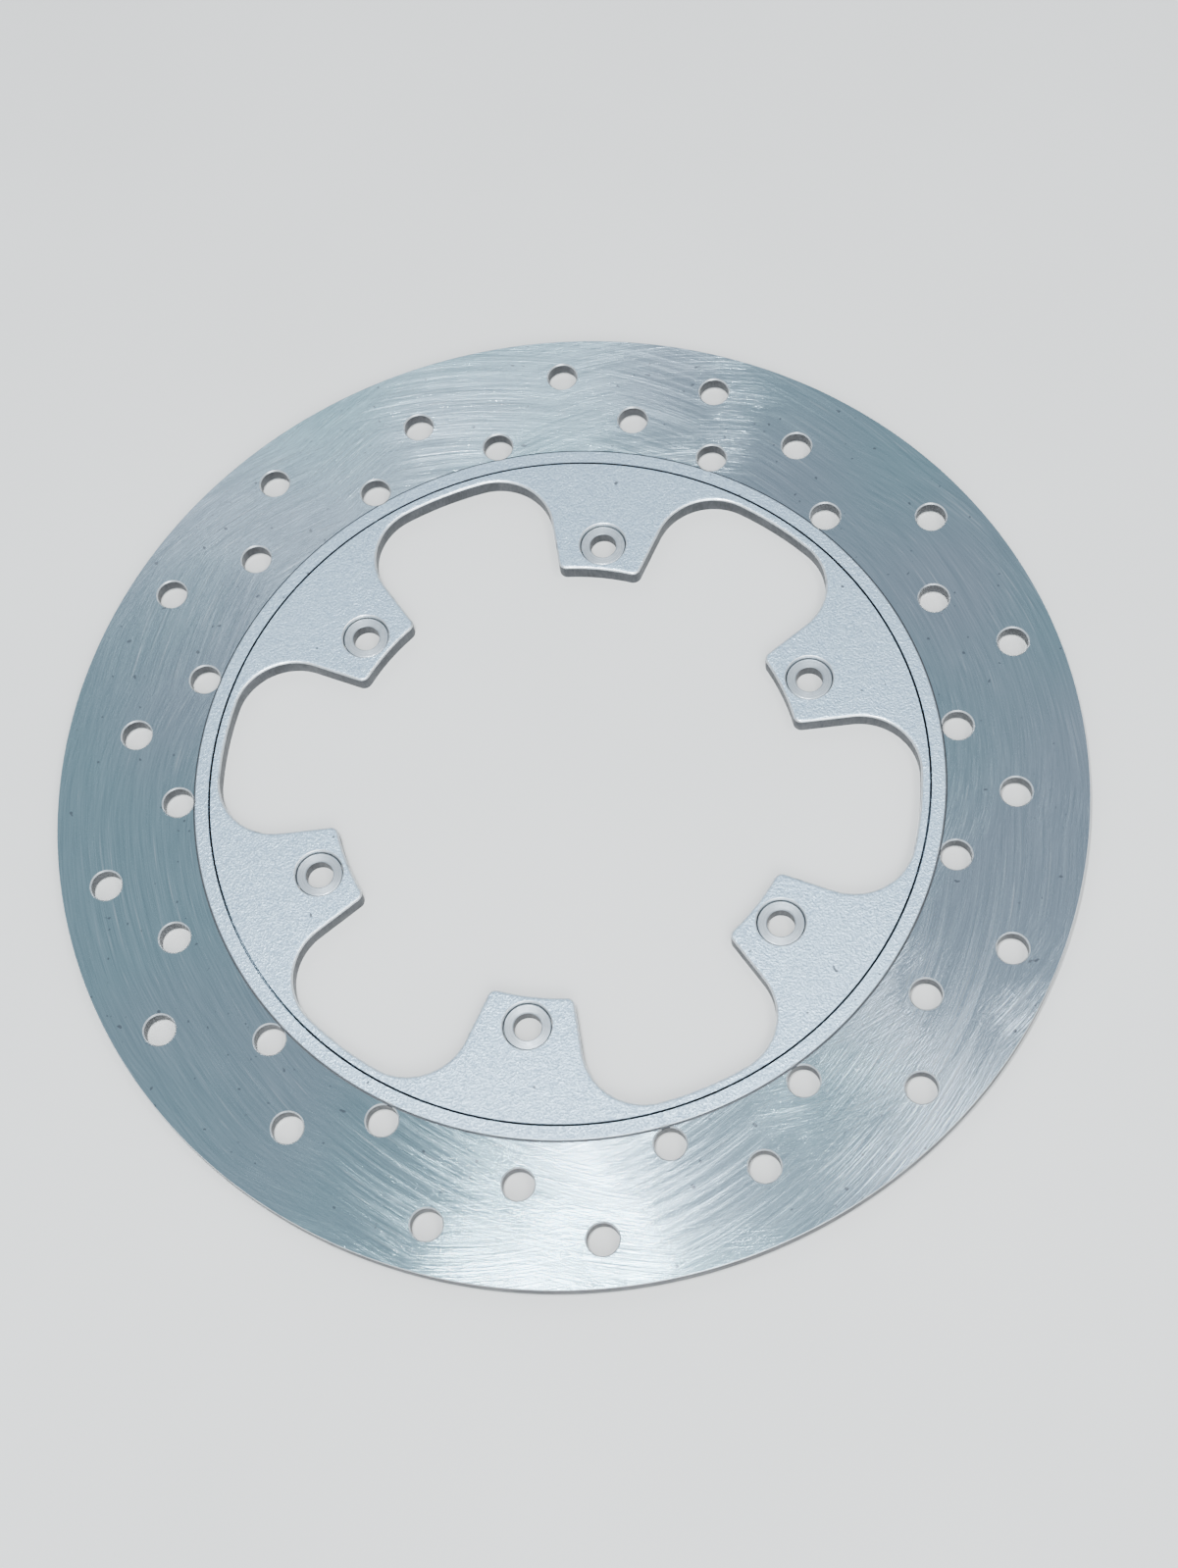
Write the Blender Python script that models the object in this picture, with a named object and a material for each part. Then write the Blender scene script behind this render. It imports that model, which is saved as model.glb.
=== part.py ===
"""Motorcycle brake disc rotor: a drilled friction ring, a six-lug carrier and six bolt bushes.

Metres, +Z up along the rotor's axis. The origin is on the axis, in the plane of the rear face
that lies against the wheel hub. The lugs sit at 90 degrees and every 60 degrees from there.
"""

import math

import bmesh
import bpy
from mathutils import Matrix, Vector

# Driving dimensions
DISC_RADIUS = 0.120
PLATE_THICKNESS = 0.0046  # the carrier, and the ring's rim that the grinding left
GRINDING_DEPTH = 0.0004  # taken off each side of the friction track
BOLT_CIRCLE_RADIUS = 0.0615
LUG_COUNT = 6
FIRST_LUG_ANGLE = math.radians(90)

# Friction ring
RIM_OUTER_RADIUS = 0.0873  # where the raised rim steps down to the track
SEAM_RADIUS = 0.0839  # middle of the joint line between ring and carrier
EDGE_CHAMFER = 0.0004  # on the outer edge of the track
SHOULDER_INNER_RADIUS = 0.0829  # ledge behind the carrier's rim
SHOULDER_HEIGHT = 0.0014

# Cooling holes: each group of six runs outwards and inwards across four rows
VENT_HOLE_RADIUS = 0.0036
VENT_ROW_RADII = (0.0913, 0.0973, 0.1033, 0.1094)  # row 0 is the innermost
VENT_GROUP = (  # (row, degrees from the group's first hole)
    (3, 0.0),
    (1, 9.9),
    (3, 20.2),
    (0, 30.4),
    (2, 40.6),
    (0, 50.8),
)
VENT_GROUP_COUNT = 6
VENT_GROUP_PITCH = math.radians(61.17)
FIRST_VENT_ANGLE = math.radians(78.6)

# Carrier
WINDOW_RADIUS = 0.0817  # outer wall of the windows between the lugs
LUG_END_RADIUS = 0.0545  # the lugs end on this circle, which clears the hub
LUG_CORNER_RADIUS = 0.0020
WINDOW_FILLET_RADIUS = 0.01385
WINDOW_FILLET_ANGLE = math.radians(23)  # from the lug's centre line
LUG_FLANK_ANGLE = math.radians(16.7)

# Bolt bushes
BUSH_BORE_RADIUS = 0.0032  # clears an M6 bolt
BUSH_LINE_RADIUS = 0.00545  # middle of the line between bush and lug
BUSH_RECESS = 0.0009  # the bush's front face below the lug's

JOINT_GAP = 0.0003  # between pieces that touch
OVERCUT = 0.002  # how far a cutter runs past both faces
SHARP_ANGLE = math.radians(30)  # edges bent further than this are shaded sharp

# Facets
TURNED_STEPS = 120
VENT_HOLE_STEPS = 16
BUSH_STEPS = 24
FILLET_STEPS = 8
CORNER_STEPS = 3
LUG_END_STEPS = 5
WINDOW_ARC_STEPS = 5

STEEL_COLOUR = (0.60, 0.62, 0.63, 1)
COATING_COLOUR = (0.60, 0.63, 0.66, 1)
BUSH_COLOUR = (0.66, 0.68, 0.70, 1)


def clear_scene():
    for obj in list(bpy.data.objects):
        bpy.data.objects.remove(obj, do_unlink=True)


def make_material(name, colour, roughness, metallic):
    material = bpy.data.materials.new(name)
    material.use_nodes = True
    shader = material.node_tree.nodes["Principled BSDF"]
    shader.inputs["Base Color"].default_value = colour
    shader.inputs["Roughness"].default_value = roughness
    shader.inputs["Metallic"].default_value = metallic
    return material


def make_object(name, bm, material=None):
    """A mesh object from bm, with its faces pointing out and its round walls shaded smooth."""
    bmesh.ops.recalc_face_normals(bm, faces=bm.faces)
    mesh = bpy.data.meshes.new(name)
    bm.to_mesh(mesh)
    bm.free()
    mesh.shade_smooth()
    mesh.set_sharp_from_angle(angle=SHARP_ANGLE)
    if material:
        mesh.materials.append(material)
    obj = bpy.data.objects.new(name, mesh)
    bpy.context.scene.collection.objects.link(obj)
    return obj


def polar(radius, angle):
    return Vector((radius * math.cos(angle), radius * math.sin(angle)))


def turn_profile(bm, profile, steps, start=0.0):
    """Turns a closed profile of (radius, z) points about the Z axis, from angle start."""
    corners = [bm.verts.new((*polar(r, start), z)) for r, z in profile]
    edges = [bm.edges.new((a, b)) for a, b in zip(corners, corners[1:] + corners[:1])]
    bmesh.ops.spin(
        bm,
        geom=corners + edges,
        cent=(0, 0, 0),
        axis=(0, 0, 1),
        angle=math.tau,
        steps=steps,
        use_merge=True,
    )


def add_rod(bm, centre, radius, steps):
    """A cylinder through the plate's whole thickness and past both its faces."""
    middle = Matrix.Translation((*centre, PLATE_THICKNESS / 2))
    bmesh.ops.create_cone(
        bm,
        cap_ends=True,
        segments=steps,
        radius1=radius,
        radius2=radius,
        depth=PLATE_THICKNESS + 2 * OVERCUT,
        matrix=middle,
    )


def cut(obj, cutter):
    """Takes cutter away from obj. The cutter stays in the scene as a helper."""
    cutter.hide_render = True
    cutter.display_type = "WIRE"
    modifier = obj.modifiers.new(cutter.name, "BOOLEAN")
    modifier.operation = "DIFFERENCE"
    modifier.solver = "EXACT"
    modifier.object = cutter


def arc(centre, radius, start, end, steps):
    """Points on an arc from angle start to angle end, both included."""
    turn = (end - start) / steps
    return [centre + polar(radius, start + turn * i) for i in range(steps + 1)]


def angle_of(vector):
    return math.atan2(vector.y, vector.x)


def lug_side():
    """The right-hand side of the lug on +Y, from its window to its end.

    The window's fillet touches the window's outer wall. The straight flank leaves the fillet
    and runs to the lug's rounded corner, which touches the lug's end circle.
    """
    fillet_centre = polar(
        WINDOW_RADIUS - WINDOW_FILLET_RADIUS, math.radians(90) - WINDOW_FILLET_ANGLE
    )
    away = polar(1, -LUG_FLANK_ANGLE)  # out of the flank, into the window
    along = polar(1, math.radians(90) - LUG_FLANK_ANGLE)
    fillet = arc(
        fillet_centre,
        WINDOW_FILLET_RADIUS,
        math.radians(90) - WINDOW_FILLET_ANGLE,
        math.radians(180) - LUG_FLANK_ANGLE,
        FILLET_STEPS,
    )
    corner_offset = fillet[-1].dot(away) - LUG_CORNER_RADIUS
    corner_distance = LUG_END_RADIUS + LUG_CORNER_RADIUS
    corner_reach = math.sqrt(corner_distance**2 - corner_offset**2)
    corner_centre = corner_offset * away + corner_reach * along
    corner = arc(
        corner_centre,
        LUG_CORNER_RADIUS,
        -LUG_FLANK_ANGLE,
        angle_of(-corner_centre),
        CORNER_STEPS,
    )
    return fillet + corner


def opening_outline():
    """The carrier's inner outline, anticlockwise: six lugs joined by the windows' outer walls."""
    side = lug_side()
    end_start = angle_of(side[-1])
    end = arc(
        Vector((0, 0)), LUG_END_RADIUS, end_start, math.pi - end_start, LUG_END_STEPS
    )
    mirrored_side = [Vector((-p.x, p.y)) for p in reversed(side)]
    lug = side + end[1:-1] + mirrored_side
    pitch = math.tau / LUG_COUNT
    window = arc(
        Vector((0, 0)),
        WINDOW_RADIUS,
        math.radians(90) + WINDOW_FILLET_ANGLE,
        math.radians(90) + pitch - WINDOW_FILLET_ANGLE,
        WINDOW_ARC_STEPS,
    )
    outline = []
    for i in range(LUG_COUNT):
        turn = Matrix.Rotation(FIRST_LUG_ANGLE - math.radians(90) + pitch * i, 2)
        outline += [turn @ p for p in lug + window[1:-1]]
    return outline


def lug_angles():
    return [FIRST_LUG_ANGLE + math.tau / LUG_COUNT * i for i in range(LUG_COUNT)]


def vent_centres():
    """The cooling holes' centres, group after group round the ring."""
    centres = []
    for group in range(VENT_GROUP_COUNT):
        start = FIRST_VENT_ANGLE + group * VENT_GROUP_PITCH
        for row, degrees in VENT_GROUP:
            centres.append(polar(VENT_ROW_RADII[row], start + math.radians(degrees)))
    return centres


def build_friction_ring(material):
    """The ring the pads clamp, with its raised rim and the ledge that carries the carrier."""
    track_front = PLATE_THICKNESS - GRINDING_DEPTH
    track_rear = GRINDING_DEPTH
    bore = SEAM_RADIUS + JOINT_GAP / 2
    profile = [
        (bore, PLATE_THICKNESS),
        (bore, SHOULDER_HEIGHT),
        (SHOULDER_INNER_RADIUS, SHOULDER_HEIGHT),
        (SHOULDER_INNER_RADIUS, 0),
        (RIM_OUTER_RADIUS, 0),
        (RIM_OUTER_RADIUS, track_rear),
        (DISC_RADIUS - EDGE_CHAMFER, track_rear),
        (DISC_RADIUS, track_rear + EDGE_CHAMFER),
        (DISC_RADIUS, track_front - EDGE_CHAMFER),
        (DISC_RADIUS - EDGE_CHAMFER, track_front),
        (RIM_OUTER_RADIUS, track_front),
        (RIM_OUTER_RADIUS, PLATE_THICKNESS),
    ]
    bm = bmesh.new()
    turn_profile(bm, profile, TURNED_STEPS)
    ring = make_object("friction_ring", bm, material)
    holes = bmesh.new()
    for centre in vent_centres():
        add_rod(holes, centre, VENT_HOLE_RADIUS, VENT_HOLE_STEPS)
    cut(ring, make_object("cutter_vent_holes", holes))


def build_carrier(material):
    """A turned blank with a rebate for the ring's ledge, pierced by the opening and the bush bores."""
    rim = SEAM_RADIUS - JOINT_GAP / 2
    rebate_radius = SHOULDER_INNER_RADIUS - JOINT_GAP
    rebate_height = SHOULDER_HEIGHT + JOINT_GAP
    blank_bore = LUG_END_RADIUS / 2
    profile = [
        (blank_bore, 0),
        (rebate_radius, 0),
        (rebate_radius, rebate_height),
        (rim, rebate_height),
        (rim, PLATE_THICKNESS),
        (blank_bore, PLATE_THICKNESS),
    ]
    bm = bmesh.new()
    half_facet = math.pi / TURNED_STEPS  # keeps the blank's radial edges off the lugs' centre lines
    turn_profile(bm, profile, TURNED_STEPS, half_facet)
    carrier = make_object("carrier", bm, material)

    opening = bmesh.new()
    floor = [opening.verts.new((p.x, p.y, -OVERCUT)) for p in opening_outline()]
    base = opening.faces.new(floor)
    grown = bmesh.ops.extrude_face_region(opening, geom=[base])
    raised = [v for v in grown["geom"] if isinstance(v, bmesh.types.BMVert)]
    height = PLATE_THICKNESS + 2 * OVERCUT
    bmesh.ops.translate(opening, verts=raised, vec=(0, 0, height))
    cut(carrier, make_object("cutter_opening", opening))

    bores = bmesh.new()
    for angle in lug_angles():
        centre = polar(BOLT_CIRCLE_RADIUS, angle)
        add_rod(bores, centre, BUSH_LINE_RADIUS + JOINT_GAP / 2, BUSH_STEPS)
    cut(carrier, make_object("cutter_bush_bores", bores))


def build_bushes(material):
    """One plain bush in each lug, flush with the rear face and sunk a little at the front."""
    outer = BUSH_LINE_RADIUS - JOINT_GAP / 2
    front = PLATE_THICKNESS - BUSH_RECESS
    profile = [
        (BUSH_BORE_RADIUS, 0),
        (outer, 0),
        (outer, front),
        (BUSH_BORE_RADIUS, front),
    ]
    bm = bmesh.new()
    turn_profile(bm, profile, BUSH_STEPS)
    first = make_object("bolt_bush_1", bm, material)
    bushes = [first]
    for number in range(2, LUG_COUNT + 1):
        bush = bpy.data.objects.new(f"bolt_bush_{number}", first.data)
        bpy.context.scene.collection.objects.link(bush)
        bushes.append(bush)
    for bush, angle in zip(bushes, lug_angles()):
        bush.location = (*polar(BOLT_CIRCLE_RADIUS, angle), 0)
        bush.rotation_euler.z = angle


def main():
    clear_scene()
    build_friction_ring(make_material("ground_steel", STEEL_COLOUR, 0.3, 1.0))
    build_carrier(make_material("silver_coating", COATING_COLOUR, 0.5, 0.8))
    build_bushes(make_material("bush_steel", BUSH_COLOUR, 0.4, 0.9))


main()
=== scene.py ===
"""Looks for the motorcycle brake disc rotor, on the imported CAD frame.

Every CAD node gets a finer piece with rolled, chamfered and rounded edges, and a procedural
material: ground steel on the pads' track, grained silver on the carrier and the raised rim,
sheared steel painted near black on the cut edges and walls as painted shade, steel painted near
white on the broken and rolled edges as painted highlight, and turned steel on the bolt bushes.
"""

import math

import bmesh
import bpy
from mathutils import Matrix, Quaternion, Vector


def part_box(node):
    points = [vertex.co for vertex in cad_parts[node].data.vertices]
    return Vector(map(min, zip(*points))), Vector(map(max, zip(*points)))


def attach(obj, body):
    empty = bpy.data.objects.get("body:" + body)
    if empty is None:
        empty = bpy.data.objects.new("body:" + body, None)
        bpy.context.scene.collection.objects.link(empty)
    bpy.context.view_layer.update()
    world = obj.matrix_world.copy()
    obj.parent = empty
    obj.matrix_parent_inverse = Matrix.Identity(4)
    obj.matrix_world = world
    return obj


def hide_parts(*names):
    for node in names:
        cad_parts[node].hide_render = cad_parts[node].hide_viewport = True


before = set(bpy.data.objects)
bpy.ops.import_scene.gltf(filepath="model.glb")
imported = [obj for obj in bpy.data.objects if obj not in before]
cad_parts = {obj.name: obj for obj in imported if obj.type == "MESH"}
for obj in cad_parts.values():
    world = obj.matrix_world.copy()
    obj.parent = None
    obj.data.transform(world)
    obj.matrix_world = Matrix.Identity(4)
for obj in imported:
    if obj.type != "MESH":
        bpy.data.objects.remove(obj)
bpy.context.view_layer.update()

LUG_COUNT = 6
QUARTER_TURN = math.pi / 2

# Sizes and places from the frame, in metres
DISC_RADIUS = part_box("friction_ring")[1].x
PLATE_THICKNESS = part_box("carrier")[1].z
BUSH_CENTRES = [
    (sum(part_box(f"bolt_bush_{number}"), Vector()) / 2).to_2d()
    for number in range(1, LUG_COUNT + 1)
]

# The CAD's other dimensions, in metres and radians
GRINDING_DEPTH = 0.0004
RIM_OUTER_RADIUS = 0.0873
SEAM_RADIUS = 0.0839
SHOULDER_INNER_RADIUS = 0.0829
SHOULDER_HEIGHT = 0.0014
VENT_HOLE_RADIUS = 0.0036
VENT_ROW_RADII = (0.0913, 0.0973, 0.1033, 0.1094)
VENT_GROUP = (  # (row, degrees from the group's first hole)
    (3, 0.0),
    (1, 9.9),
    (3, 20.2),
    (0, 30.4),
    (2, 40.6),
    (0, 50.8),
)
VENT_GROUP_COUNT = 6
VENT_GROUP_PITCH = math.radians(61.17)
FIRST_VENT_ANGLE = math.radians(78.6)
WINDOW_RADIUS = 0.0817
LUG_END_RADIUS = 0.0545
LUG_CORNER_RADIUS = 0.0020
WINDOW_FILLET_RADIUS = 0.01385
WINDOW_FILLET_ANGLE = math.radians(23)
LUG_FLANK_ANGLE = math.radians(16.7)
BUSH_BORE_RADIUS = 0.0032
BUSH_LINE_RADIUS = 0.00545
BUSH_RECESS = 0.0009
JOINT_GAP = 0.0003

# Edge details that only the looks have
TRACK_EDGE_ROUND = 0.00025
RIM_EDGE_ROUND = 0.00025
VENT_CHAMFER = 0.0003
ROLL_WIDTH = 0.0009  # the front edges that stamping rolled over
ROLL_HEIGHT = 0.0005
SMALL_CHAMFER = 0.00015
SEAM_CHAMFER = 0.00012
BORE_CHAMFER = 0.0002
GROOVE_WIDTH = 0.0004  # where the grinding wheel stopped, at the foot of the rim's step
GROOVE_DEPTH = 0.00015

CUTTER_OVERRUN = 0.002  # how far the holes' cutter runs past both faces

# Facets and shading
SHARP_ANGLE = math.radians(32)
LEVEL_SLOPE = 0.999  # a face whose normal's height is above this is level
WALL_SLOPE = 0.35  # a face whose normal's height is below this is a wall
EDGE_SLOPE = 0.96  # and one below this is a broken or rolled edge
TURNED_STEPS = 360
VENT_STEPS = 48
BUSH_STEPS = 72
ROUND_STEPS = 4
ROLL_STEPS = 6
FILLET_STEPS = 28
CORNER_STEPS = 8
LUG_END_STEPS = 16
WINDOW_ARC_STEPS = 14

FRONT_OF_TRACK = PLATE_THICKNESS - GRINDING_DEPTH


def polar(radius, angle):
    return Vector((radius * math.cos(angle), radius * math.sin(angle)))


def arc(centre, radius, start, end, steps):
    """Points on an arc from angle start to angle end, both included."""
    turn = (end - start) / steps
    return [centre + polar(radius, start + turn * i) for i in range(steps + 1)]


def angle_of(vector):
    return math.atan2(vector.y, vector.x)


def rounded(centre, radius, start, end):
    """Profile points on a round edge, from angle start to angle end, both included."""
    turn = (end - start) / ROUND_STEPS
    angles = [start + turn * i for i in range(ROUND_STEPS + 1)]
    return [(centre[0] + radius * math.cos(a), centre[1] + radius * math.sin(a)) for a in angles]


def turn_profile(bm, profile, steps):
    """Turns a closed profile of (radius, z) points about the Z axis."""
    corners = [bm.verts.new((r, 0, z)) for r, z in profile]
    edges = [bm.edges.new((a, b)) for a, b in zip(corners, corners[1:] + corners[:1])]
    bmesh.ops.spin(
        bm,
        geom=corners + edges,
        cent=(0, 0, 0),
        axis=(0, 0, 1),
        angle=math.tau,
        steps=steps,
        use_merge=True,
    )


def is_level(face):
    return abs(face.normal.z) > LEVEL_SLOPE


def shade(bm):
    """Smooth all over, with sharp edges at corners and round every level face."""
    bmesh.ops.recalc_face_normals(bm, faces=bm.faces)
    bm.normal_update()
    for face in bm.faces:
        face.smooth = True
    for edge in bm.edges:
        first, second = edge.link_faces
        corner = first.normal.angle(second.normal, 0) > SHARP_ANGLE
        edge.smooth = not corner and is_level(first) == is_level(second)


def make_piece(name, bm, materials):
    shade(bm)
    mesh = bpy.data.meshes.new(name)
    bm.to_mesh(mesh)
    bm.free()
    for material in materials:
        mesh.materials.append(material)
    piece = bpy.data.objects.new(name, mesh)
    bpy.context.scene.collection.objects.link(piece)
    return piece


def vent_centres():
    centres = []
    for group in range(VENT_GROUP_COUNT):
        start = FIRST_VENT_ANGLE + group * VENT_GROUP_PITCH
        for row, degrees in VENT_GROUP:
            centres.append(polar(VENT_ROW_RADII[row], start + math.radians(degrees)))
    return centres


# ---------------------------------------------------------------- shapes


def vent_cutter():
    """Every cooling hole as one cutter: a drilled wall that flares at both faces."""
    beyond = CUTTER_OVERRUN
    front = FRONT_OF_TRACK
    rear = GRINDING_DEPTH
    r = VENT_HOLE_RADIUS
    flare = VENT_CHAMFER + beyond
    outline = [(r + flare, front + beyond), (r, front - VENT_CHAMFER)]
    outline += [(r, rear + VENT_CHAMFER), (r + flare, rear - beyond)]
    bm = bmesh.new()
    for centre in vent_centres():
        rings = []
        for radius, z in outline:
            ring = arc(centre, radius, 0, math.tau, VENT_STEPS)[:-1]
            rings.append([bm.verts.new((p.x, p.y, z)) for p in ring])
        for lower, upper in zip(rings, rings[1:]):
            join_rings(bm, lower, upper)
        bm.faces.new(rings[0])
        bm.faces.new(list(reversed(rings[-1])))
    return make_piece("vent_cutter", bm, [])


def join_rings(bm, first, second):
    """A strip of quads between two closed rings with the same number of vertices."""
    for corners in zip(first, second, second[1:] + second[:1], first[1:] + first[:1]):
        bm.faces.new(corners)


def ring_profile():
    """The ring's section: the ledge, round the rear to the outer edge, and back along the front."""
    front = PLATE_THICKNESS
    track = FRONT_OF_TRACK
    rear = GRINDING_DEPTH
    bore = SEAM_RADIUS + JOINT_GAP / 2
    edge = TRACK_EDGE_ROUND
    rim = RIM_EDGE_ROUND
    profile = [(bore, SHOULDER_HEIGHT), (SHOULDER_INNER_RADIUS, SHOULDER_HEIGHT)]
    profile += [(SHOULDER_INNER_RADIUS, 0)]
    profile += rounded((RIM_OUTER_RADIUS - rim, rim), rim, -QUARTER_TURN, 0)
    profile += [(RIM_OUTER_RADIUS, rear)]
    profile += rounded((DISC_RADIUS - edge, rear + edge), edge, -QUARTER_TURN, 0)
    profile += rounded((DISC_RADIUS - edge, track - edge), edge, 0, QUARTER_TURN)
    profile += [(RIM_OUTER_RADIUS + GROOVE_WIDTH, track)]
    profile += [(RIM_OUTER_RADIUS + GROOVE_WIDTH, track - GROOVE_DEPTH)]
    profile += [(RIM_OUTER_RADIUS, track - GROOVE_DEPTH)]
    profile += rounded((RIM_OUTER_RADIUS - rim, front - rim), rim, 0, QUARTER_TURN)
    profile += [(bore + SEAM_CHAMFER, front), (bore, front - SEAM_CHAMFER)]
    return profile


def build_friction_ring(materials):
    """materials are the ground track's, the raised rim's, the walls' and the edges', in that order."""
    bm = bmesh.new()
    turn_profile(bm, ring_profile(), TURNED_STEPS)
    blank = make_piece("ring_blank", bm, [])
    cutter = vent_cutter()
    modifier = blank.modifiers.new("vents", "BOOLEAN")
    modifier.operation = "DIFFERENCE"
    modifier.solver = "EXACT"
    modifier.object = cutter
    bpy.context.view_layer.update()
    drilled = blank.evaluated_get(bpy.context.evaluated_depsgraph_get())
    bm = bmesh.new()
    bm.from_mesh(drilled.to_mesh())
    bpy.data.objects.remove(blank)
    bpy.data.objects.remove(cutter)
    paint_ring_faces(bm)
    return make_piece("friction_ring_ground", bm, materials)


def paint_ring_faces(bm):
    """0 is the ground track, 1 the raised rim, 2 the walls painted near black as painted shade and 3
    the broken edges painted near white as painted highlight.
    """
    for face in bm.faces:
        radius = face.calc_center_median().to_2d().length
        slope = abs(face.normal.z)
        groove = RIM_OUTER_RADIUS < radius < RIM_OUTER_RADIUS + GROOVE_WIDTH
        seam = slope < EDGE_SLOPE and radius < SEAM_RADIUS + JOINT_GAP
        # Walls, the groove and the seam's chamfers take the near-black steel, a painted shade
        if slope < WALL_SLOPE or groove or seam:
            face.material_index = 2
        elif slope < EDGE_SLOPE:
            face.material_index = 3
        elif radius < RIM_OUTER_RADIUS:
            face.material_index = 1
        else:
            face.material_index = 0


def lug_side(inset):
    """The right-hand side of the lug on +Y, inset into the material."""
    fillet_centre = polar(
        WINDOW_RADIUS - WINDOW_FILLET_RADIUS, QUARTER_TURN - WINDOW_FILLET_ANGLE
    )
    away = polar(1, -LUG_FLANK_ANGLE)
    along = polar(1, QUARTER_TURN - LUG_FLANK_ANGLE)
    fillet = arc(
        fillet_centre,
        WINDOW_FILLET_RADIUS + inset,
        QUARTER_TURN - WINDOW_FILLET_ANGLE,
        math.pi - LUG_FLANK_ANGLE,
        FILLET_STEPS,
    )
    flank = fillet_centre.dot(away) - WINDOW_FILLET_RADIUS
    corner_offset = flank - LUG_CORNER_RADIUS
    corner_distance = LUG_END_RADIUS + LUG_CORNER_RADIUS
    corner_reach = math.sqrt(corner_distance**2 - corner_offset**2)
    corner_centre = corner_offset * away + corner_reach * along
    corner = arc(
        corner_centre,
        LUG_CORNER_RADIUS - inset,
        -LUG_FLANK_ANGLE,
        angle_of(-corner_centre),
        CORNER_STEPS,
    )
    return fillet + corner


def opening_outline(inset):
    """The carrier's inner outline, anticlockwise, inset into the material."""
    side = lug_side(inset)
    centre = Vector((0, 0))
    end_start = angle_of(side[-1])
    end = arc(centre, LUG_END_RADIUS + inset, end_start, math.pi - end_start, LUG_END_STEPS)
    mirrored_side = [Vector((-p.x, p.y)) for p in reversed(side)]
    pitch = math.tau / LUG_COUNT
    window = arc(
        centre,
        WINDOW_RADIUS + inset,
        QUARTER_TURN + WINDOW_FILLET_ANGLE,
        QUARTER_TURN + pitch - WINDOW_FILLET_ANGLE,
        WINDOW_ARC_STEPS,
    )
    outline = []
    for i in range(LUG_COUNT):
        turn = Matrix.Rotation(pitch * i, 2)
        outline += [turn @ p for p in side + end[1:-1] + mirrored_side + window[1:-1]]
    return outline


def stack_rings(bm, rings):
    """Closed rings of (points, z), joined into a wall. Returns the first and last vertex ring."""
    rows = [[bm.verts.new((p.x, p.y, z)) for p in points] for points, z in rings]
    for first, second in zip(rows, rows[1:]):
        join_rings(bm, first, second)
    return rows[0], rows[-1]


def ring_edges(bm, ring):
    return [bm.edges.get((a, b)) for a, b in zip(ring, ring[1:] + ring[:1])]


def carrier_rolled_wall():
    """The inner outline's wall from rear to front, with the front edge rolled over."""
    rows = [(opening_outline(SMALL_CHAMFER), 0), (opening_outline(0), SMALL_CHAMFER)]
    roll_foot = PLATE_THICKNESS - ROLL_HEIGHT
    for i in range(ROLL_STEPS + 1):
        angle = QUARTER_TURN * i / ROLL_STEPS
        inset = ROLL_WIDTH * (1 - math.cos(angle))
        rows.append((opening_outline(inset), roll_foot + ROLL_HEIGHT * math.sin(angle)))
    return rows


def carrier_seam_wall():
    """The outer wall from rear to front, stepped where the ring's ledge lies behind the carrier."""
    seam = SEAM_RADIUS - JOINT_GAP / 2
    rebate_radius = SHOULDER_INNER_RADIUS - JOINT_GAP
    rebate_height = SHOULDER_HEIGHT + JOINT_GAP
    profile = [
        (rebate_radius, 0),
        (rebate_radius, rebate_height),
        (seam, rebate_height),
        (seam, PLATE_THICKNESS - SEAM_CHAMFER),
        (seam - SEAM_CHAMFER, PLATE_THICKNESS),
    ]
    centre = Vector((0, 0))
    return [(arc(centre, r, 0, math.tau, TURNED_STEPS)[:-1], z) for r, z in profile]


def bush_bore_wall(centre):
    """The wall of one bush's hole from rear to front, with its front edge broken in two steps."""
    bore = BUSH_LINE_RADIUS + JOINT_GAP / 2
    middle = RIM_EDGE_ROUND / 3
    profile = [
        (bore, 0),
        (bore, PLATE_THICKNESS - RIM_EDGE_ROUND),
        (bore + middle, PLATE_THICKNESS - middle),
        (bore + RIM_EDGE_ROUND, PLATE_THICKNESS),
    ]
    return [(arc(centre, r, 0, math.tau, BUSH_STEPS)[:-1], z) for r, z in profile]


def build_carrier(materials):
    """materials are the face's, the walls' and the rolled edges', in that order."""
    bm = bmesh.new()
    walls = [carrier_rolled_wall(), carrier_seam_wall()]
    walls += [bush_bore_wall(centre) for centre in BUSH_CENTRES]
    rear_edges = []
    front_edges = []
    for wall in walls:
        rear, front = stack_rings(bm, wall)
        rear_edges += ring_edges(bm, rear)
        front_edges += ring_edges(bm, front)
    bmesh.ops.triangle_fill(bm, edges=rear_edges, use_beauty=True)
    bmesh.ops.triangle_fill(bm, edges=front_edges, use_beauty=True)
    bm.normal_update()
    paint_carrier_faces(bm)
    return make_piece("carrier_stamped", bm, materials)


def paint_carrier_faces(bm):
    """0 is the coated face, 1 the walls and the seam in near-black painted shade, 2 the rolled edges
    and the bushes' bores in near-white painted highlight.
    """
    for face in bm.faces:
        middle = face.calc_center_median().to_2d()
        slope = abs(face.normal.z)
        seam = slope < EDGE_SLOPE and middle.length > SEAM_RADIUS - JOINT_GAP
        # The walls and the seam's chamfers take the near-black steel, a painted shade
        if seam or (slope < WALL_SLOPE and not in_bush_bore(middle)):
            face.material_index = 1
        elif slope < EDGE_SLOPE:
            face.material_index = 2


def in_bush_bore(point):
    return any((point - centre).length < BUSH_LINE_RADIUS + JOINT_GAP for centre in BUSH_CENTRES)


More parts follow.
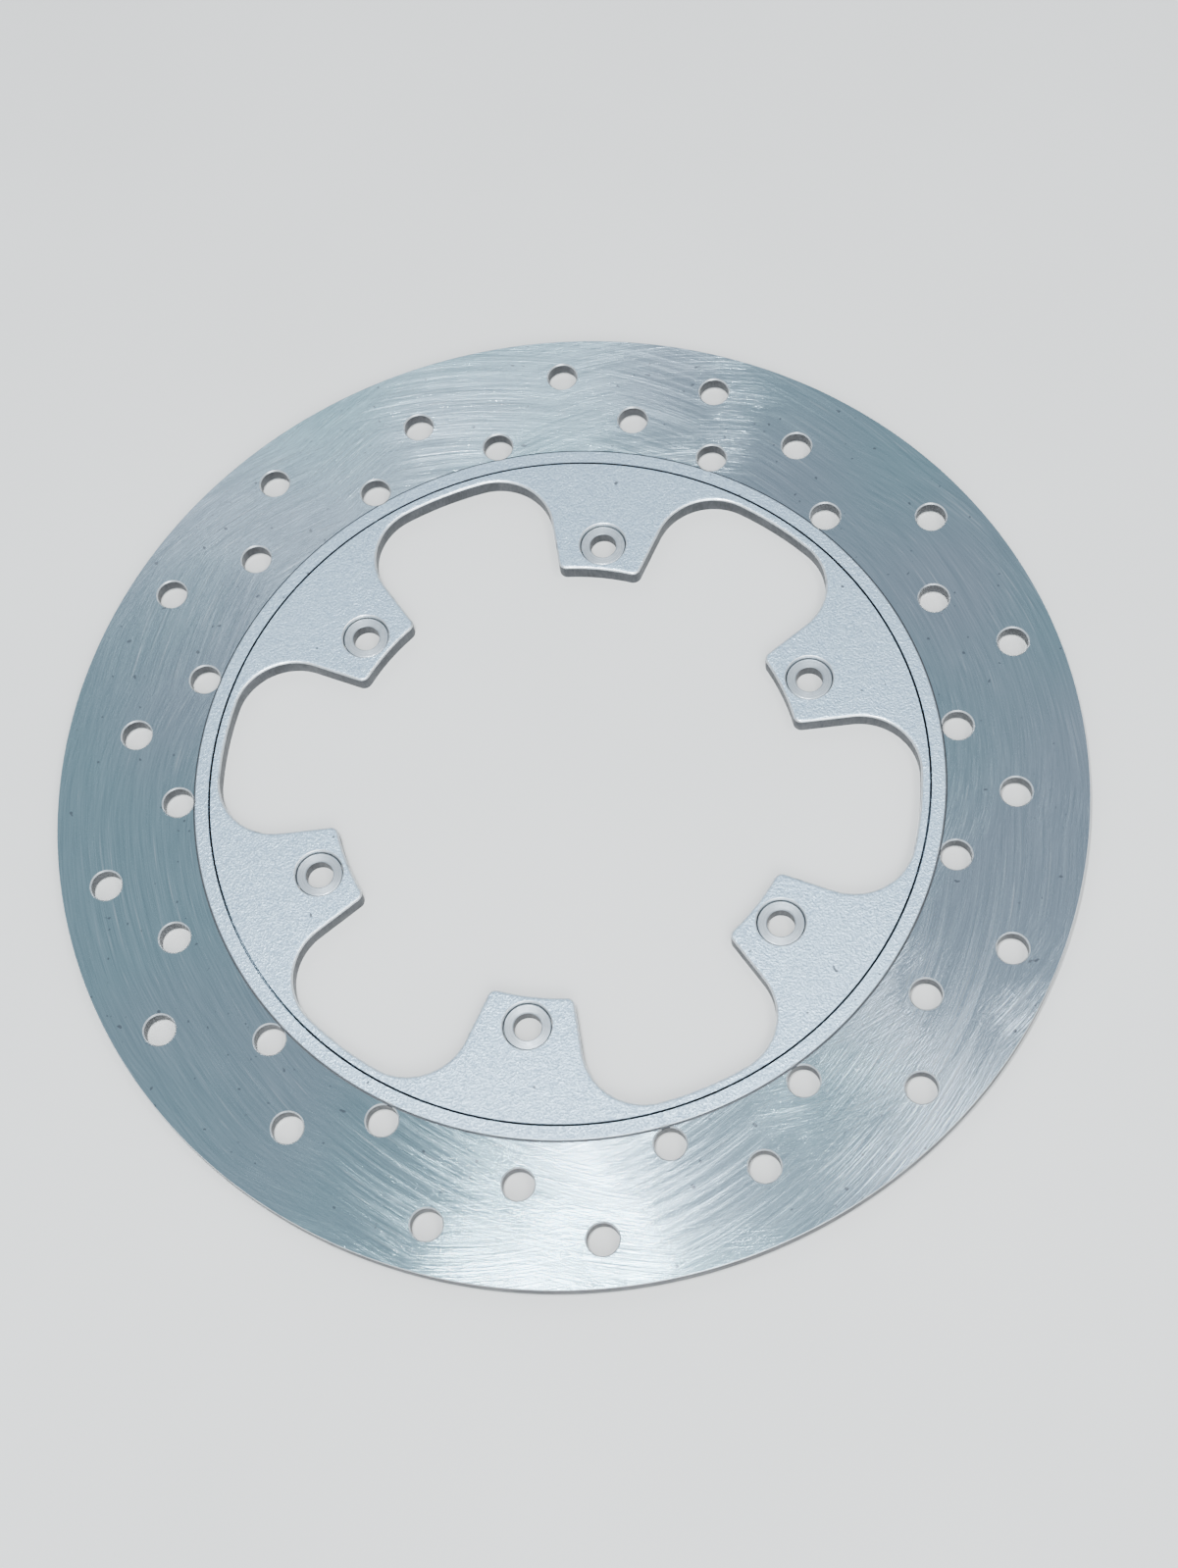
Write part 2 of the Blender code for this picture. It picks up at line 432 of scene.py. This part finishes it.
def build_bush(number, centre, material, shaded_wall_material):
    """One turned bush, with its front face sunk below the lug's."""
    outer = BUSH_LINE_RADIUS - JOINT_GAP / 2
    front = PLATE_THICKNESS - BUSH_RECESS
    bore = BUSH_BORE_RADIUS
    profile = [(bore, BORE_CHAMFER), (bore + BORE_CHAMFER, 0)]
    profile += [(outer - SMALL_CHAMFER, 0), (outer, SMALL_CHAMFER)]
    round_centre = (outer - RIM_EDGE_ROUND, front - RIM_EDGE_ROUND)
    profile += rounded(round_centre, RIM_EDGE_ROUND, 0, QUARTER_TURN)
    profile += [(bore + BORE_CHAMFER, front), (bore, front - BORE_CHAMFER)]
    bm = bmesh.new()
    turn_profile(bm, profile, BUSH_STEPS)
    bm.normal_update()
    for face in bm.faces:
        # The bush's walls take the near-black steel, a painted shade
        face.material_index = 1 if abs(face.normal.z) < WALL_SLOPE else 0
    bush = make_piece(f"bolt_bush_turned_{number}", bm, [material, shaded_wall_material])
    bush.location = (*centre, 0)
    return bush


# ---------------------------------------------------------------- materials


ARC_RADIUS = 0.1  # from the arcs' centre, where their length is true


class Nodes:
    """A short way to write a material's nodes."""

    def __init__(self, name):
        self.material = bpy.data.materials.new(name)
        self.material.use_nodes = True
        self.tree = self.material.node_tree
        self.shader = self.tree.nodes["Principled BSDF"]
        self.position = self.add("ShaderNodeTexCoord").outputs["Object"]

    def add(self, kind, **settings):
        node = self.tree.nodes.new(kind)
        for key, value in settings.items():
            setattr(node, key, value)
        return node

    def put(self, socket, value):
        """Links value to socket if it is another node's output, and stores it otherwise."""
        if isinstance(value, bpy.types.NodeSocket):
            self.tree.links.new(value, socket)
        else:
            socket.default_value = value

    def math(self, operation, a, b):
        node = self.add("ShaderNodeMath", operation=operation)
        self.put(node.inputs[0], a)
        self.put(node.inputs[1], b)
        return node.outputs[0]

    def blend(self, a, b, share):
        """a and b added in the proportions share to 1 - share."""
        scaled = self.math("MULTIPLY", a, share)
        return self.math("ADD", scaled, self.math("MULTIPLY", b, 1 - share))

    def vector(self, operation, a, b=(0, 0, 0)):
        node = self.add("ShaderNodeVectorMath", operation=operation)
        self.put(node.inputs[0], a)
        self.put(node.inputs[1], b)
        return node.outputs["Value"] if operation == "LENGTH" else node.outputs["Vector"]

    def scaled(self, vector, factor):
        node = self.add("ShaderNodeVectorMath", operation="SCALE")
        self.put(node.inputs[0], vector)
        self.put(node.inputs["Scale"], factor)
        return node.outputs["Vector"]

    def noise(self, vector, scale, detail=2.0, roughness=0.5):
        node = self.add("ShaderNodeTexNoise")
        self.put(node.inputs["Vector"], vector)
        node.inputs["Scale"].default_value = scale
        node.inputs["Detail"].default_value = detail
        node.inputs["Roughness"].default_value = roughness
        return node.outputs["Fac"]

    def stretch(self, value, low, high, to_low=0.0, to_high=1.0):
        """value moved from the range low to high into the range to_low to to_high."""
        node = self.add("ShaderNodeMapRange")
        for socket, number in zip(node.inputs, (value, low, high, to_low, to_high)):
            self.put(socket, number)
        return node.outputs["Result"]

    def mix(self, factor, a, b):
        node = self.add("ShaderNodeMix", data_type="RGBA")
        self.put(node.inputs["Factor"], factor)
        self.put(node.inputs["A"], a)
        self.put(node.inputs["B"], b)
        return node.outputs["Result"]

    def bump(self, height, distance, normal=None):
        node = self.add("ShaderNodeBump")
        self.put(node.inputs["Height"], height)
        node.inputs["Distance"].default_value = distance
        node.inputs["Strength"].default_value = 1.0
        if normal is not None:
            self.put(node.inputs["Normal"], normal)
        return node.outputs["Normal"]

    def set(self, **values):
        """Shader inputs by name, with _ for a space."""
        for name, value in values.items():
            self.put(self.shader.inputs[name.replace("_", " ")], value)

    def arcs(self, centre, width, length, detail=2.0):
        """Noise drawn out along circles about centre: lines of about that width and length."""
        offset = self.vector("SUBTRACT", self.position, (*centre, 0))
        flat = self.vector("MULTIPLY", offset, (1, 1, 0))
        radius = self.vector("LENGTH", flat)
        around = self.vector("NORMALIZE", flat)
        turned = self.scaled(around, ARC_RADIUS / length)
        across = self.math("MULTIPLY", radius, 1 / width)
        lift = self.add("ShaderNodeCombineXYZ")
        self.put(lift.inputs["Z"], across)
        return self.noise(self.vector("ADD", turned, lift.outputs[0]), 1.0, detail)


def ground_steel():
    """The pads' track: faint turned circles under two crossing sets of long grinding arcs."""
    n = Nodes("ground_steel_track")
    first_centre = (0.028, 0.010)
    second_centre = (-0.022, -0.012)
    turned = n.arcs((0, 0), width=0.00030, length=0.030)
    grinding = n.arcs(first_centre, width=0.00036, length=0.012, detail=3.0)
    crossing = n.arcs(second_centre, width=0.00040, length=0.016, detail=3.0)
    patch = n.stretch(n.noise(n.position, 28.0, 2.0), 0.42, 0.60)
    scratches = n.mix(patch, grinding, crossing)
    first_sweep = n.arcs(first_centre, width=0.0022, length=0.045)
    second_sweep = n.arcs(second_centre, width=0.0028, length=0.050)
    sweeps = n.mix(patch, first_sweep, second_sweep)
    lines = n.blend(scratches, turned, 0.75)
    shine = n.stretch(lines, 0.38, 0.62)
    teal = n.mix(shine, (0.30, 0.45, 0.51, 1), (0.41, 0.59, 0.66, 1))
    lilac = n.mix(shine, (0.37, 0.46, 0.54, 1), (0.48, 0.58, 0.67, 1))
    tint = n.stretch(n.noise(n.position, 13.0, 1.0), 0.40, 0.62)
    deep = n.stretch(scratches, 0.62, 0.74, 0.0, 0.45)
    colour = n.mix(deep, n.mix(tint, teal, lilac), (0.84, 0.90, 0.96, 1))
    pits = n.stretch(n.noise(n.position, 520.0, 1.0), 0.74, 0.77, 0.0, 0.7)
    colour = n.mix(pits, colour, (0.16, 0.17, 0.20, 1))
    tone = n.blend(lines, sweeps, 0.6)
    rough = n.stretch(tone, 0.38, 0.62, 0.31, 0.17)
    n.set(Base_Color=colour, Metallic=1.0, Roughness=rough)
    n.set(Anisotropic=0.95, Anisotropic_Rotation=0.25)
    fine = n.bump(lines, 0.00020)
    n.set(Normal=n.bump(sweeps, 0.00012, normal=fine))
    # Each streak turns the brushing a little, so it shows only where a highlight falls
    first_streak = n.arcs(first_centre, width=0.0006, length=0.030)
    second_streak = n.arcs(second_centre, width=0.0007, length=0.034)
    streaks = n.mix(patch, first_streak, second_streak)
    outward = n.vector("NORMALIZE", n.vector("MULTIPLY", n.position, (1, 1, 0)))
    lean = n.scaled(outward, n.stretch(streaks, 0.38, 0.62, -0.16, 0.16))
    tangent = n.add("ShaderNodeTangent", direction_type="RADIAL", axis="Z")
    n.set(Tangent=n.vector("ADD", tangent.outputs[0], lean))
    return n.material


def grained_silver():
    """The carrier's face and the raised rim: matt silver with a fine bright grain and few specks."""
    n = Nodes("grained_silver")
    grain = n.noise(n.position, 1900.0, 2.0, 0.6)
    soft = n.noise(n.position, 700.0, 1.0)
    clouds = n.noise(n.position, 45.0, 2.0)
    tone = n.blend(grain, soft, 0.75)
    base = n.mix(n.stretch(tone, 0.38, 0.62), (0.37, 0.50, 0.63, 1), (0.62, 0.80, 0.95, 1))
    base = n.mix(n.stretch(clouds, 0.35, 0.65, 0.0, 0.25), base, (0.52, 0.68, 0.84, 1))
    specks = n.noise(n.position, 400.0, 1.0)
    base = n.mix(n.stretch(specks, 0.755, 0.775, 0.0, 0.85), base, (0.10, 0.10, 0.11, 1))
    rough = n.stretch(tone, 0.40, 0.65, 0.52, 0.32)
    n.set(Base_Color=base, Metallic=0.75, Roughness=rough)
    n.set(Normal=n.bump(tone, 0.00026))
    return n.material


def painted_highlight_edge():
    """Broken and rolled edges: steel painted near white as painted highlight, with a few dull nicks.
    """
    n = Nodes("painted_highlight_edge_steel")
    highlight_mottle = n.noise(n.position, 700.0, 3.0)
    nicks = n.stretch(n.noise(n.position, 240.0, 2.0), 0.60, 0.72, 0.0, 0.6)
    # The near-white colours paint a highlight along the edges; the nicks stay dull
    colour = n.mix(n.stretch(highlight_mottle, 0.35, 0.65), (0.80, 0.88, 0.94, 1), (0.98, 1.0, 1.0, 1))
    colour = n.mix(nicks, colour, (0.34, 0.38, 0.42, 1))
    n.set(Base_Color=colour, Metallic=0.85, Roughness=n.stretch(highlight_mottle, 0.35, 0.65, 0.40, 0.28))
    n.set(Normal=n.bump(highlight_mottle, 0.00006))
    return n.material


def painted_shade_wall():
    """Edges and hole walls: steel painted near black as painted shade, with fine lines through the
    plate's thickness.
    """
    n = Nodes("sheared_steel_painted_shade")
    squashed = n.vector("MULTIPLY", n.position, (1, 1, 0.2))
    lines = n.noise(squashed, 2600.0, 3.0, 0.6)
    bands = n.noise(n.position, 160.0, 2.0)
    tone = n.blend(lines, bands, 0.5)
    bright = n.stretch(tone, 0.30, 0.70)
    # Both colours are near black: painted shade on the walls, holes, groove and seam, darker than the
    # steel itself
    colour = n.mix(bright, (0.05, 0.053, 0.058, 1), (0.11, 0.115, 0.125, 1))
    n.set(Base_Color=colour, Metallic=0.85, Roughness=n.stretch(tone, 0.35, 0.65, 0.52, 0.42))
    n.set(Normal=n.bump(lines, 0.00002))
    return n.material


def turned_steel():
    """The bushes: satin steel with fine circles about each bush's own axis."""
    n = Nodes("turned_bush_steel")
    circles = n.arcs((0, 0), width=0.00016, length=0.9, detail=1.0)
    wear = n.noise(n.position, 900.0, 3.0)
    tone = n.blend(circles, wear, 0.6)
    colour = n.mix(n.stretch(tone, 0.38, 0.62), (0.46, 0.52, 0.57, 1), (0.72, 0.78, 0.83, 1))
    rough = n.stretch(wear, 0.35, 0.65, 0.46, 0.32)
    n.set(Base_Color=colour, Metallic=0.9, Roughness=rough)
    n.set(Anisotropic=0.4, Anisotropic_Rotation=0.25)
    n.set(Normal=n.bump(circles, 0.00003))
    tangent = n.add("ShaderNodeTangent", direction_type="RADIAL", axis="Z")
    n.set(Tangent=tangent.outputs[0])
    return n.material


def floor_material():
    n = Nodes("pale_floor")
    mottle = n.noise(n.position, 12.0, 3.0)
    colour = n.mix(n.stretch(mottle, 0.3, 0.7), (0.89, 0.87, 0.84, 1), (0.93, 0.91, 0.88, 1))
    n.set(Base_Color=colour, Roughness=0.85)
    return n.material


# ---------------------------------------------------------------- stage


def make_floor():
    mesh = bpy.data.meshes.new("floor")
    half = 2.5  # metres
    z = -0.00005  # just under the disc, so that the two surfaces don't share a plane
    corners = [(-half, -half, z), (half, -half, z), (half, half, z), (-half, half, z)]
    mesh.from_pydata(corners, [], [(0, 1, 2, 3)])
    mesh.materials.append(floor_material())
    floor = bpy.data.objects.new("floor", mesh)
    bpy.context.scene.collection.objects.link(floor)


COOL = (0.90, 0.96, 1.0)
WHITE = (1, 1, 1)
LIGHTS = (  # name, direction from the disc, metres away, width and height, watts, colour
    ("overhead_softbox", (-0.036, -0.176, 0.984), 0.8, (0.045, 0.20), 6.5, COOL),
    ("side_softbox", (0.41, 0.0, 0.91), 1.4, (0.30, 0.30), 3.4, WHITE),
    ("front_softbox", (0.25, -0.60, 0.76), 1.6, (0.9, 0.9), 14.0, COOL),
    ("back_softbox", (-0.30, 0.575, 0.761), 1.6, (0.48, 0.50), 1.35, COOL),
)


def add_area_light(name, direction, distance, size, power, colour):
    """A rectangular light at distance from the disc's centre that shines at it."""
    data = bpy.data.lights.new(name, "AREA")
    data.shape = "RECTANGLE"
    data.size, data.size_y = size
    data.energy = power
    data.color = colour
    lamp = bpy.data.objects.new(name, data)
    towards = Vector(direction).normalized()
    lamp.location = towards * distance
    lamp.rotation_euler = towards.to_track_quat("Z", "Y").to_euler()
    bpy.context.scene.collection.objects.link(lamp)


def light_scene():
    for light in LIGHTS:
        add_area_light(*light)
    world = bpy.data.worlds.new("studio")
    world.use_nodes = True
    background = world.node_tree.nodes["Background"]
    background.inputs["Color"].default_value = (0.76, 0.84, 0.92, 1)
    background.inputs["Strength"].default_value = 0.70
    bpy.context.scene.world = world


def add_camera():
    """The photograph's view. Distances are in metres, the lens and the sensor in millimetres."""
    azimuth = math.radians(17.35)
    elevation = math.radians(65.70)
    roll = math.radians(-10.23)
    distance = 0.5638
    target = Vector((0.0055, -0.0017, FRONT_OF_TRACK))
    level = math.cos(elevation)
    towards = Vector((level * math.sin(azimuth), -level * math.cos(azimuth), math.sin(elevation)))
    data = bpy.data.cameras.new("camera")
    data.lens = 55.86
    data.sensor_width = 36.0
    camera = bpy.data.objects.new("camera", data)
    camera.location = target + distance * towards
    upright = towards.to_track_quat("Z", "Y")
    camera.rotation_mode = "QUATERNION"
    camera.rotation_quaternion = upright @ Quaternion((0, 0, 1), roll)
    bpy.context.scene.collection.objects.link(camera)
    bpy.context.scene.camera = camera


def mount(piece, node):
    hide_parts(node)
    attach(piece, "root")


def main():
    silver = grained_silver()
    wall = painted_shade_wall()
    edge = painted_highlight_edge()
    turned = turned_steel()
    ring = build_friction_ring([ground_steel(), silver, wall, edge])
    mount(ring, "friction_ring")
    mount(build_carrier([silver, wall, edge]), "carrier")
    for number, centre in enumerate(BUSH_CENTRES, start=1):
        mount(build_bush(number, centre, turned, wall), f"bolt_bush_{number}")
    make_floor()
    light_scene()
    add_camera()


main()
